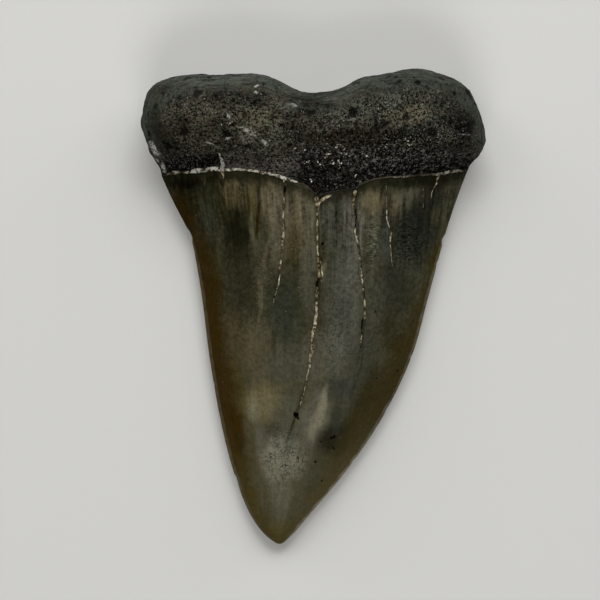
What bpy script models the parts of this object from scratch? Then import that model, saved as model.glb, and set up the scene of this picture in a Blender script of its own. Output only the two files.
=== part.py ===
"""A fossil mako shark tooth, one solid, lying on its flat labial (outer) face.

+X is the tooth's right and +Y runs from its tip to its root, both as seen looking down on the
lingual (inner) face, which is +Z. The origin is at the middle of the tooth's length and width, on
the surface that it lies on. Sizes below are millimetres: X from the tooth's middle, Y from its tip.

The solid is two grids of faces, one for each side of the tooth, that meet in one rim: the cutting
edges of the crown and the rounded edge of the root. A grid point has two values. Across runs from 0
at the left rim to 1 at the right rim. Along runs from 0 at the tip, through 1 at the neck, where
the enamel ends, to 2 at the top of the root.
"""

import math

import bmesh
import bpy
import numpy as np
from mathutils import Vector, noise
from mathutils.geometry import interpolate_bezier

MM = 0.001

# The outline, as (x, y), with only the points that its shape needs.
TIP = (-4.6, 0.0)
LEFT_CUTTING_EDGE = [
    TIP, (-6.9, 1.6), (-8.6, 4.3), (-9.9, 7.5), (-11.3, 12.1), (-12.6, 18.0), (-13.8, 25.2),
    (-14.6, 31.8), (-15.4, 36.8), (-16.1, 40.2), (-17.1, 42.3), (-18.5, 45.0), (-20.0, 48.3),
]
RIGHT_CUTTING_EDGE = [
    TIP, (-3.7, 0.4), (-2.5, 1.6), (-0.4, 4.2), (2.0, 6.9), (5.1, 10.8), (8.6, 16.0), (11.4, 21.3),
    (13.3, 26.0), (14.8, 31.8), (16.2, 37.0), (17.3, 41.0), (18.6, 45.0), (20.1, 49.0),
]
LEFT_ROOT_SIDE = [
    (-20.0, 48.3), (-20.2, 49.5), (-21.0, 50.8), (-21.9, 52.4), (-22.5, 54.8), (-22.3, 57.0),
    (-21.8, 59.0), (-20.9, 60.2), (-19.6, 60.9),
]
RIGHT_ROOT_SIDE = [
    (20.1, 49.0), (20.8, 50.1), (21.6, 51.0), (22.1, 52.1), (22.4, 53.9), (22.1, 55.8),
    (21.4, 57.8), (20.3, 59.7), (18.7, 60.7),
]
ROOT_TOP = [
    (-19.6, 60.9), (-17.6, 61.2), (-13.7, 61.3), (-9.7, 61.4), (-6.8, 61.2), (-5.0, 60.8),
    (-3.2, 59.9), (-1.6, 59.1), (0.5, 59.0), (2.6, 59.1), (3.9, 59.8), (5.5, 60.7), (7.6, 61.4),
    (10.6, 61.8), (13.3, 62.0), (15.9, 61.6), (18.7, 60.7),
]

# The line where the enamel ends, on each side of the tooth.
LINGUAL_NECK = [
    (-20.0, 48.3), (-15.0, 49.2), (-12.1, 49.4), (-9.1, 49.2), (-6.0, 48.5), (-3.2, 47.2),
    (-1.0, 46.4), (1.1, 45.7), (3.4, 46.4), (5.5, 47.0), (11.3, 47.9), (17.5, 48.8), (20.1, 49.0),
]
LABIAL_NECK = [
    (-20.0, 48.3), (-13.0, 48.7), (-6.0, 47.8), (0.0, 47.2), (7.0, 47.9), (14.0, 48.9), (20.1, 49.0),
]

# The ledge above the neck on the lingual side, where the rough bone of the root starts.
LEDGE = [
    (-20.6, 50.6), (-11.0, 51.0), (-5.5, 50.3), (-2.5, 51.2), (2.1, 51.5), (11.3, 51.7), (20.9, 51.2),
]
LEDGE_RISE = 0.6
LEDGE_HALF_WIDTH = 0.45

# Heights above the surface that the tooth lies on. The crown's are (y, height).
CROWN_RIDGE = [
    (0.0, 1.3), (1.2, 2.4), (4.0, 3.8), (10.0, 5.6), (20.0, 7.6), (30.0, 9.0), (40.0, 9.9),
    (50.0, 10.3),
]
CUTTING_EDGE_HEIGHT = [(0.0, 1.3), (10.0, 1.4), (30.0, 1.7), (50.0, 2.2)]
CROWN_ROUNDNESS = 2.1
LABIAL_FLAT = 0.4
TIP_TURN = 0.08

# The root's are (share of the way from the neck to its top, height).
ROOT_RIDGE = [
    (0.0, 10.2), (0.04, 9.7), (0.1, 9.7), (0.2, 10.2), (0.35, 11.2), (0.6, 12.2), (0.8, 12.3),
    (1.0, 12.1),
]
ROOT_RIM_HEIGHT = [(0.0, 2.2), (0.1, 2.6), (0.3, 4.0), (0.6, 4.6), (1.0, 4.8)]
ROOT_SQUARENESS = 4.5
LOBE_THINNING = 0.28
TOP_ROUNDING_START = 0.42
LABIAL_ROUNDING_START = 0.72
LABIAL_STEP = 0.25
LABIAL_HOLLOW = 0.5

# Drying cracks in the enamel of the lingual side, as (x, y) points from the lower end to the neck.
CRACKS = [
    [(-5.3, 32.2), (-4.8, 34.1), (-4.3, 36.4), (-4.0, 40.8), (-3.8, 46.0), (-3.7, 47.4)],
    [
        (-4.3, 11.4), (-3.2, 14.8), (-2.0, 18.2), (-0.8, 22.2), (-0.2, 27.2), (0.5, 32.2),
        (0.7, 34.7), (0.6, 38.1), (0.3, 44.8), (0.4, 46.0),
    ],
    [(5.9, 23.2), (6.4, 28.0), (6.7, 30.0), (6.3, 34.7), (5.8, 38.4), (5.4, 43.1), (5.4, 47.0)],
    [(10.3, 37.3), (9.9, 41.4), (9.6, 43.9), (9.6, 47.7)],
]
CRACK_HALF_WIDTH = 0.25
CRACK_DEPTH = 0.3
CRACK_FADE = 3.0

# Low lumps over the root: each layer is (size of a lump, height).
ROOT_LUMPS = [(6.0, 0.40), (2.6, 0.22)]
LUMP_SEED = Vector((3.1, 7.7, 1.9))

COLUMNS, CROWN_ROWS, ROOT_ROWS = 40, 27, 20
RIM_CROWDING = 0.55

ENAMEL_COLOUR = (0.047, 0.042, 0.023)
ROOT_COLOUR = (0.028, 0.025, 0.019)


class Curve:
    """A smooth curve through a few (x, y) points. before and after are where it would go on to."""

    def __init__(self, points, before=None, after=None):
        knots = [Vector(p) for p in points]
        first = Vector(before) if before else 2 * knots[0] - knots[1]
        last = Vector(after) if after else 2 * knots[-1] - knots[-2]
        path = [first, *knots, last]
        headings = [(path[n + 1] - path[n - 1]).normalized() for n in range(1, len(path) - 1)]
        line = [knots[0]]
        for n in range(len(knots) - 1):
            reach = (knots[n + 1] - knots[n]).length / 3
            handles = knots[n] + headings[n] * reach, knots[n + 1] - headings[n + 1] * reach
            line += interpolate_bezier(knots[n], *handles, knots[n + 1], 12)[1:]
        self.x, self.y = np.array([tuple(p)[:2] for p in line]).T
        steps = np.hypot(np.diff(self.x), np.diff(self.y))
        self.share = np.concatenate([[0.0], np.cumsum(steps)]) / steps.sum()

    def at(self, share):
        """The point at a share of the curve's length."""
        return np.array([np.interp(share, self.share, self.x), np.interp(share, self.share, self.y)])

    def height(self, x):
        """The curve's y where it passes x."""
        return float(np.interp(x, self.x, self.y))


left_edge = Curve(LEFT_CUTTING_EDGE, before=RIGHT_CUTTING_EDGE[1])
right_edge = Curve(RIGHT_CUTTING_EDGE, before=LEFT_CUTTING_EDGE[1])
left_root = Curve(LEFT_ROOT_SIDE, after=ROOT_TOP[1])
right_root = Curve(RIGHT_ROOT_SIDE, after=ROOT_TOP[-2])
root_top = Curve(ROOT_TOP, before=LEFT_ROOT_SIDE[-2], after=RIGHT_ROOT_SIDE[-2])
lingual_neck = Curve(LINGUAL_NECK)
labial_neck = Curve(LABIAL_NECK)
ledge = Curve(LEDGE)
crown_ridge = Curve(CROWN_RIDGE)
cutting_edge_height = Curve(CUTTING_EDGE_HEIGHT)
root_ridge = Curve(ROOT_RIDGE)
root_rim_height = Curve(ROOT_RIM_HEIGHT)


def rise(value, start, end):
    """0 up to start, 1 from end, and smooth between them."""
    share = min(1.0, max(0.0, (value - start) / (end - start)))
    return share * share * (3 - 2 * share)


def mix(a, b, share):
    return a + (b - a) * share


def bow(curve, across):
    """How far a curve's point lies from the straight line between the curve's two ends."""
    return curve.at(across) - mix(*(curve.at(end)[:, None] for end in (0.0, 1.0)), across)


def plan(across, along, neck):
    """The (x, y) of grid points on one row, which is straight at the tip and follows the neck above."""
    across = np.atleast_1d(across)
    share = along if along <= 1 else along - 1
    left, right = (left_edge, right_edge) if along <= 1 else (left_root, right_root)
    if along <= 1:
        bend = share**3 * bow(neck, across)
    else:
        bend = (1 - share) * bow(neck, across) + share * bow(root_top, across)
    return mix(left.at(share)[:, None], right.at(share)[:, None], across) + bend


def rounding(value, start, power):
    """1 up to start, then an elliptical round that reaches 0 at 1."""
    share = min(1.0, max(0.0, (value - start) / (1 - start)))
    return math.sqrt(max(0.0, 1 - share**power))


def lingual_height(across, along, x, y):
    """Height of the inner face, on top: a lens-shaped crown, and a root that bulges above a ledge."""
    aside = min(1.0, abs(2 * across - 1))
    if along <= 1:
        edge = cutting_edge_height.height(y)
        return mix(edge, crown_ridge.height(y), 1 - aside**CROWN_ROUNDNESS)
    share = along - 1
    rootlike = rise(share, 0.0, 0.3)
    roundness = mix(CROWN_ROUNDNESS, ROOT_SQUARENESS, rootlike)
    side = (1 - aside**roundness) ** mix(1.0, 0.5, rootlike)
    rim = root_rim_height.height(share)
    top = root_ridge.height(share) * (1 - LOBE_THINNING * rootlike * aside**2)
    top += LEDGE_RISE * rise(y - ledge.height(x), -LEDGE_HALF_WIDTH, LEDGE_HALF_WIDTH)
    return rim + (top - rim) * side * rounding(share, TOP_ROUNDING_START, 2.4)


def labial_height(across, along, x, y):
    """Height of the outer face, underneath: flat along the middle, hollow below the root's notch."""
    aside = min(1.0, abs(2 * across - 1))
    turn = (max(0.0, aside - LABIAL_FLAT) / (1 - LABIAL_FLAT)) ** 2
    if along <= 1:
        return cutting_edge_height.height(y) * mix(1.0, turn, rise(along, 0.0, TIP_TURN))
    share = along - 1
    rim = root_rim_height.height(share)
    flat = rounding(aside, LABIAL_ROUNDING_START, 2.2) * rounding(share, LABIAL_ROUNDING_START, 2.2)
    step = LABIAL_STEP * rise(share, 0.0, 0.05) * (1 - rise(share, 0.25, 0.5) * rise(aside, 0.35, 0.6))
    hollow = LABIAL_HOLLOW * rise(share, 0.2, 1.0) * (1 - rise(aside, 0.05, 0.45))
    return mix(rim * turn, rim * (1 - flat), rise(share, 0.0, 0.3)) + (step + hollow) * flat


def crack_columns(crack):
    """The (along, across) values of a crack, from its lower end to the neck."""
    xs, ys = np.array(crack).T
    values = np.linspace(0, 1, 201)
    found = []
    for along in np.linspace(0.05, 1, 96):
        x, y = plan(values, along, lingual_neck)
        across = np.interp(0, x - np.interp(y, ys, xs), values)
        if np.interp(across, values, y) >= ys[0]:
            found.append((along, across))
    return np.array(found).T


crack_courses = [crack_columns(crack) for crack in CRACKS]


def column_values():
    """The across value of every column at the neck, with three for each crack: its floor and lips."""
    even = [n / COLUMNS for n in range(COLUMNS + 1)]
    values = [mix(n, (1 - math.cos(math.pi * n)) / 2, RIM_CROWDING) for n in even]
    width = float(right_edge.at(1)[0] - left_edge.at(1)[0])
    lip = CRACK_HALF_WIDTH / width
    for course in crack_courses:
        floor = course[1][-1]
        values = [n for n in values if abs(n - floor) > 2.2 * lip] + [floor - lip, floor, floor + lip]
    return sorted(values)


def follow_cracks(across, along):
    """Shifts a row's columns so that those of the cracks keep to the cracks."""
    at_neck = [course[1][-1] for course in crack_courses]
    here = [np.interp(min(along, 1), *course) for course in crack_courses]
    return float(np.interp(across, [0, *at_neck, 1], [0, *here, 1]))


def crack_depth(across, y):
    """How deep a point of the crown lies in a crack. across is its column's value at the neck."""
    for crack, course in zip(CRACKS, crack_courses):
        if abs(across - course[1][-1]) < 1e-6:
            return CRACK_DEPTH * rise(y, crack[0][1], crack[0][1] + CRACK_FADE)
    return 0.0


def row_values():
    """The along value of every row, closer together at the tip, the neck and the root's top."""
    crown = [n / CROWN_ROWS for n in range(CROWN_ROWS)]
    crown = [mix(n, math.sin(math.pi / 2 * n), 0.45) for n in crown]
    crown[1:1] = [0.25 * crown[1]]
    root = [1 + math.sin(math.pi / 2 * n / ROOT_ROWS) ** 1.25 for n in range(ROOT_ROWS + 1)]
    return crown + root


def add_side(bm, columns, rows, neck, height):
    """One side of the tooth, as a grid whose points are then put in place. Returns its vertices."""
    made = bmesh.ops.create_grid(bm, x_segments=len(columns) - 1, y_segments=len(rows) - 1, size=0.5)
    for vertex in made["verts"]:
        column = round((vertex.co.x + 0.5) * (len(columns) - 1))
        row = round((vertex.co.y + 0.5) * (len(rows) - 1))
        across, along = follow_cracks(columns[column], rows[row]), rows[row]
        x, y = plan(across, along, neck)[:, 0]
        z = height(across, along, x, y)
        if neck is lingual_neck and along < 1:
            z -= crack_depth(columns[column], y)
        vertex.co = x, y, z
    return made["verts"]


def add_root_lumps(bm):
    """Raises and sinks the root's surface in low lumps, apart from the side that the tooth lies on."""
    bm.normal_update()
    for vertex in bm.verts:
        x, y, z = vertex.co
        above_neck = y - max(lingual_neck.height(x), labial_neck.height(x))
        lumpy = rise(above_neck, 0.3, 3.0) * rise(vertex.normal.z, -0.6, 0.0)
        lump = sum(tall * noise.noise(vertex.co / wide + LUMP_SEED) for wide, tall in ROOT_LUMPS)
        vertex.co += vertex.normal * lump * lumpy


def mark_root(bm):
    """Gives the root's faces, above the neck on either side, the second material."""
    for face in bm.faces:
        middle = face.calc_center_median()
        neck = lingual_neck if face.normal.z > 0 else labial_neck
        face.material_index = int(middle.y > neck.height(middle.x))


def material(name, colour, roughness):
    made = bpy.data.materials.new(name)
    made.use_nodes = True
    shader = made.node_tree.nodes["Principled BSDF"]
    shader.inputs["Base Color"].default_value = (*colour, 1.0)
    shader.inputs["Roughness"].default_value = roughness
    shader.inputs["Metallic"].default_value = 0.0
    return made


def build_tooth():
    columns, rows = column_values(), row_values()
    bm = bmesh.new()
    add_side(bm, columns, rows, lingual_neck, lingual_height)
    lower = add_side(bm, columns, rows, labial_neck, labial_height)
    bmesh.ops.reverse_faces(bm, faces=[f for f in bm.faces if f.verts[0] in set(lower)])
    bmesh.ops.remove_doubles(bm, verts=bm.verts, dist=0.002)
    add_root_lumps(bm)
    mark_root(bm)
    low, high = (Vector(map(pick, zip(*(v.co for v in bm.verts)))) for pick in (min, max))
    bmesh.ops.translate(bm, verts=bm.verts, vec=(-(low.x + high.x) / 2, -(low.y + high.y) / 2, -low.z))
    bmesh.ops.scale(bm, verts=bm.verts, vec=(MM, MM, MM))
    mesh = bpy.data.meshes.new("tooth")
    bm.to_mesh(mesh)
    bm.free()
    return mesh


def main():
    for old in list(bpy.data.objects):
        bpy.data.objects.remove(old)
    mesh = build_tooth()
    mesh.materials.append(material("fossil_enamel", ENAMEL_COLOUR, 0.35))
    mesh.materials.append(material("fossil_root", ROOT_COLOUR, 0.85))
    mesh.shade_smooth()
    tooth = bpy.data.objects.new("tooth", mesh)
    bpy.context.scene.collection.objects.link(tooth)


main()
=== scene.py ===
"""A fossil mako shark tooth lying on its flat outer face: worn enamel with drying cracks that have
filled with sediment, and a dark, porous root with sand stuck to it.

Sizes are millimetres, x from the tooth's middle and y from its tip, both as seen from above. The
inner (lingual) face is on top. The finished pieces are in metres, in the frame of the solid model.
"""

import math

import bmesh
import bpy
import numpy as np
from mathutils import Matrix, Vector, noise
from mathutils.bvhtree import BVHTree
from mathutils.geometry import interpolate_bezier


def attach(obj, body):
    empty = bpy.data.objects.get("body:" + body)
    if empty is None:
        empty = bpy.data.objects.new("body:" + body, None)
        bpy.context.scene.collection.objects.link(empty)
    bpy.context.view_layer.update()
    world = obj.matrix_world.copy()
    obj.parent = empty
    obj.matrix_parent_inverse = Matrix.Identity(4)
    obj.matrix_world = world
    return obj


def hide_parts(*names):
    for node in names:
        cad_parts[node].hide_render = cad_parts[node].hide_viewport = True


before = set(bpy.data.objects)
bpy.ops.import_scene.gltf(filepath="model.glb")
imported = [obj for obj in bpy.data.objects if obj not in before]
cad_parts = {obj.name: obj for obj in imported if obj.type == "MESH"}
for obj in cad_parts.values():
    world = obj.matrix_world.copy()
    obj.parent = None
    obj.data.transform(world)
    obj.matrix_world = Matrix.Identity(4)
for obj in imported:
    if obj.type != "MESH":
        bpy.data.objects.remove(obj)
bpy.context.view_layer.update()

MM = 0.001
TIP_X = -4.6
CROWN_WIDTH = 34.0
FAR = 9.0  # stands for a distance that is out of reach of every crack

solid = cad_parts["tooth"]
tip = min((v.co for v in solid.data.vertices), key=lambda co: co.y) / MM
OFFSET = Vector((tip.x - TIP_X, tip.y, 0.0))  # from the places below to the model's frame

# Where the enamel ends on the inner face, with the line of sediment along it: (x, y, half width of
# that line, paleness). Then the enamel's end on the outer face, and the ledge where rough bone starts.
ENAMEL_END = [
    (-20.1, 48.3, 0.06, 0.1), (-19.4, 48.4, 0.08, 0.2), (-18.6, 48.6, 0.2, 0.6), (-17.9, 48.7, 0.16, 0.6),
    (-17.3, 48.7, 0.08, 0.1), (-16.3, 48.7, 0.15, 0.8), (-15.2, 48.9, 0.22, 1), (-14.2, 48.9, 0.17, 0.8),
    (-13.2, 49.1, 0.22, 1), (-12.1, 49, 0.16, 0.9), (-11.1, 48.9, 0.16, 0.95), (-10.1, 49, 0.14, 0.85),
    (-9, 48.9, 0.09, 0.5), (-8, 48.8, 0.11, 0.7), (-7, 48.6, 0.12, 0.7), (-6, 48.4, 0.1, 0.6),
    (-4.9, 48.1, 0.16, 0.9), (-3.9, 47.8, 0.2, 1), (-2.9, 47.5, 0.11, 0.7), (-1.8, 47.1, 0.09, 0.5),
    (-0.8, 46.7, 0.06, 0.25), (-0.2, 46.1, 0.04, 0.1), (0.5, 45.5, 0.04, 0.1), (1.4, 45.9, 0.04, 0.1),
    (3.3, 46.2, 0.04, 0.1), (5.3, 46.6, 0.05, 0.15), (6, 47, 0.05, 0.2), (7.4, 47.6, 0.05, 0.25),
    (9.1, 47.9, 0.05, 0.3), (11.1, 48, 0.07, 0.45), (13, 48.2, 0.05, 0.25), (14.4, 48.3, 0.06, 0.3),
    (15.7, 48.4, 0.09, 0.5), (16.7, 48.5, 0.11, 0.7), (17.8, 48.8, 0.15, 1), (19.1, 48.9, 0.08, 0.4),
    (20.2, 49, 0.06, 0.2),
]
LABIAL_NECK = [(-20, 48.3), (-13, 48.7), (-6, 47.8), (0, 47.2), (7, 47.9), (14, 48.9), (20.1, 49)]
LEDGE = [
    (-20.4, 50.6), (-11, 51), (-5.5, 50.3), (-2.5, 51.2), (2.1, 51.5), (11.3, 51.7), (20.6, 51.2),
]

# Drying cracks in the enamel, from the neck towards the tip: (x, y, half width, filled share). Where
# the half width is 0 or less, only a thin, faint line is left.
CRACKS = {
    "left": [
        (-4, 47.7, 0.08, 0.9), (-3.8, 47, 0.11, 0.9), (-3.8, 46.3, 0.15, 0.5), (-3.9, 45.5, 0.08, 0.9),
        (-3.9, 44.3, 0.09, 1), (-4, 42.8, 0.09, 1), (-4, 41.2, 0.12, 1), (-4, 40.3, 0.18, 1),
        (-4.2, 39.5, 0.12, 1), (-4, 38.6, 0.06, 0.8), (-4.2, 37.5, 0.07, 0.9), (-4.4, 36.6, 0.11, 1),
        (-4.4, 35.7, 0.06, 0.8), (-4.6, 34.5, 0.07, 1), (-4.9, 33.3, 0.05, 0.8), (-5.2, 32.4, 0.06, 0.8),
        (-5.3, 31.5, 0.02, 0.7),
    ],
    "middle": [
        (0.4, 45.1, 0.32, 0.8), (0.4, 44.3, 0.22, 1), (0.4, 43.6, 0.11, 1), (0.4, 42.3, 0.09, 1),
        (0.4, 40.7, 0.09, 1), (0.4, 39.2, 0.08, 0.9), (0.5, 37.9, 0.08, 1), (0.6, 36.4, 0.1, 1),
        (0.6, 35.2, 0.11, 1), (0.4, 34.1, 0.13, 0), (0.4, 33.5, 0.11, 1), (0.3, 32, 0.13, 1),
        (0.3, 30.8, 0.15, 1), (0.2, 29.7, 0.18, 1), (0, 28.6, 0.15, 1), (-0.2, 27.3, 0.16, 1),
        (-0.3, 26, 0.18, 1), (-0.5, 24.8, 0.13, 1), (-0.6, 23.6, 0.14, 1), (-0.8, 22.5, 0.1, 1),
        (-1.1, 21.3, 0.07, 0.95), (-1.3, 20.1, 0.05, 0.9), (-1.6, 19.2, 0.06, 0.85),
        (-1.8, 18.5, 0.04, 0.8), (-2.1, 17.8, -0.03, 0.3), (-2.3, 17, 0, 0), (-2.6, 16.3, 0, 0),
        (-3, 15.2, -0.01, 0), (-3.4, 13.6, -0.02, 0), (-3.8, 12.3, -0.03, 0), (-4.2, 11.5, -0.05, 0),
    ],
    "top of the middle": [
        (0.5, 44.5, 0.14, 1), (1, 45, 0.16, 1), (1.6, 45.4, 0.16, 1), (2.2, 45.6, 0.07, 0.9),
    ],
    "right": [
        (5.3, 46.1, 0.16, 1), (5.1, 45.2, 0.13, 1), (5.1, 44.1, 0.09, 1), (5.4, 43.2, 0.03, 0.5),
        (5.4, 41.9, 0.03, 0.5), (5.3, 41, 0.07, 0.9), (5.5, 39.9, 0.1, 1), (5.7, 38.6, 0.08, 1),
        (5.8, 38, 0.05, 0.7), (5.9, 37.4, 0.08, 0.9), (6, 36.4, 0.1, 1), (6.1, 35.5, 0.09, 1),
        (6.2, 34.8, 0.09, 1), (6.3, 34, 0.05, 0.6), (6.4, 33.2, 0.09, 1), (6.5, 32, 0.1, 1),
        (6.6, 31, 0.13, 1), (6.6, 29.8, 0.1, 1), (6.3, 29.1, 0.12, 0), (6.2, 28.3, 0.03, 0.4),
        (6.1, 27.1, 0.05, 0.95), (6.1, 26.1, 0.03, 0.6), (5.8, 24.8, -0.02, 0.3), (5.6, 23.2, -0.04, 0),
    ],
    "beside the right": [
        (5.6, 37.2, -0.04, 0), (5.7, 36.2, -0.01, 0), (5.9, 34.8, -0.01, 0), (6.1, 33.9, -0.03, 0),
    ],
    "far right": [
        (9.3, 47.2, -0.01, 1), (9.4, 45, 0, 1), (9.4, 43.4, 0.01, 1), (9.5, 42.4, 0.03, 1),
        (9.7, 41.4, 0.05, 1), (10, 40.7, 0.1, 1), (9.9, 39.9, 0.08, 1), (9.9, 39.2, 0.02, 1),
        (10, 38.1, 0.02, 1), (10.1, 37.1, 0.01, 1), (10.2, 36.4, -0.01, 1),
    ],
    "beside the middle": [
        (0.8, 37.6, 0, 1), (0.9, 36.4, 0.04, 1), (1, 35.3, 0.07, 1), (0.9, 34.5, 0.03, 1),
    ],
    "right corner": [
        (16.4, 48.5, 0.08, 1), (16.1, 47.9, 0.09, 1), (15.9, 47.3, 0.05, 1), (15.5, 46.5, 0.02, 1),
        (15.3, 45.6, 0.01, 1), (15.2, 44.8, -0.02, 1),
    ],
    "short": [(14.2, 46.9, -0.01, 1), (14.2, 45.6, 0.02, 1), (14.2, 44.1, -0.01, 1)],
    "over the enamel's end": [
        (-12.4, 50.9, 0.05, 1), (-12.2, 50.3, 0.13, 1), (-12, 49.7, 0.2, 1), (-12, 49.1, 0.22, 1),
        (-11.9, 48.6, 0.16, 1), (-11.8, 48.2, 0.05, 1), (-11.8, 47.6, -0.01, 0.9),
    ],
}

# Small open pits in the enamel, as (x, y, radius), and nicks out of the cutting edges, as
# (x, y, radius, depth).
PITS = [
    (-2.3, 17.1, 0.26), (-2.5, 17.3, 0.15), (-2.1, 16.7, 0.15), (2.6, 14.2, 0.16), (2.2, 14.1, 0.13),
    (0.9, 13.6, 0.08), (2.5, 12.8, 0.12), (2.7, 12.6, 0.08), (0.2, 10.9, 0.12), (1, 8.4, 0.09),
    (1.1, 39.4, 0.15), (1, 39.2, 0.11), (8.1, 21.9, 0.08), (10.9, 22.8, 0.09), (8, 30.5, 0.08),
]
NICKS = [
    (-16.1, 40.8, 0.9, 0.22), (-16.4, 40, 0.6, 0.15), (-9.9, 8.7, 0.8, 0.22), (-9.6, 7.5, 0.5, 0.15),
    (17.1, 39.9, 0.7, 0.22), (16.2, 36.8, 0.5, 0.1), (4.9, 11, 0.6, 0.18), (9.6, 17.9, 0.5, 0.1),
    (-13.1, 20.8, 0.4, 0.08), (12.6, 24.5, 0.4, 0.08),
]

# Colours, as linear reflectances.
INK = (0.003, 0.002, 0.001)
SMOKE = (0.006, 0.006, 0.002)
NIGHT = (0.011, 0.013, 0.01)
SLATE = (0.028, 0.031, 0.021)
MOSS = (0.013, 0.014, 0.006)
BARK = (0.018, 0.011, 0.001)
OLIVE = (0.024, 0.02, 0.005)
HONEY = (0.04, 0.026, 0.002)
GOLD = (0.066, 0.053, 0.019)
TAN = (0.08, 0.062, 0.029)
BEIGE = (0.108, 0.092, 0.055)
FERN = (0.048, 0.05, 0.03)
SILVER = (0.064, 0.066, 0.053)
PEARL = (0.118, 0.114, 0.086)
CREAM = (0.2, 0.185, 0.125)
GRIT = (0.62, 0.56, 0.4)
CHALK = (0.54, 0.53, 0.49)
BLACK_BONE = (0.0022, 0.0019, 0.0016)
DARK_BONE = (0.009, 0.009, 0.007)
BROWN_BONE = (0.036, 0.031, 0.022)
GREY_BONE = (0.042, 0.043, 0.035)
GREEN_BONE = (0.045, 0.05, 0.043)
SAND_BONE = (0.07, 0.06, 0.04)
OLIVE_BONE = (0.058, 0.053, 0.036)

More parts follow.
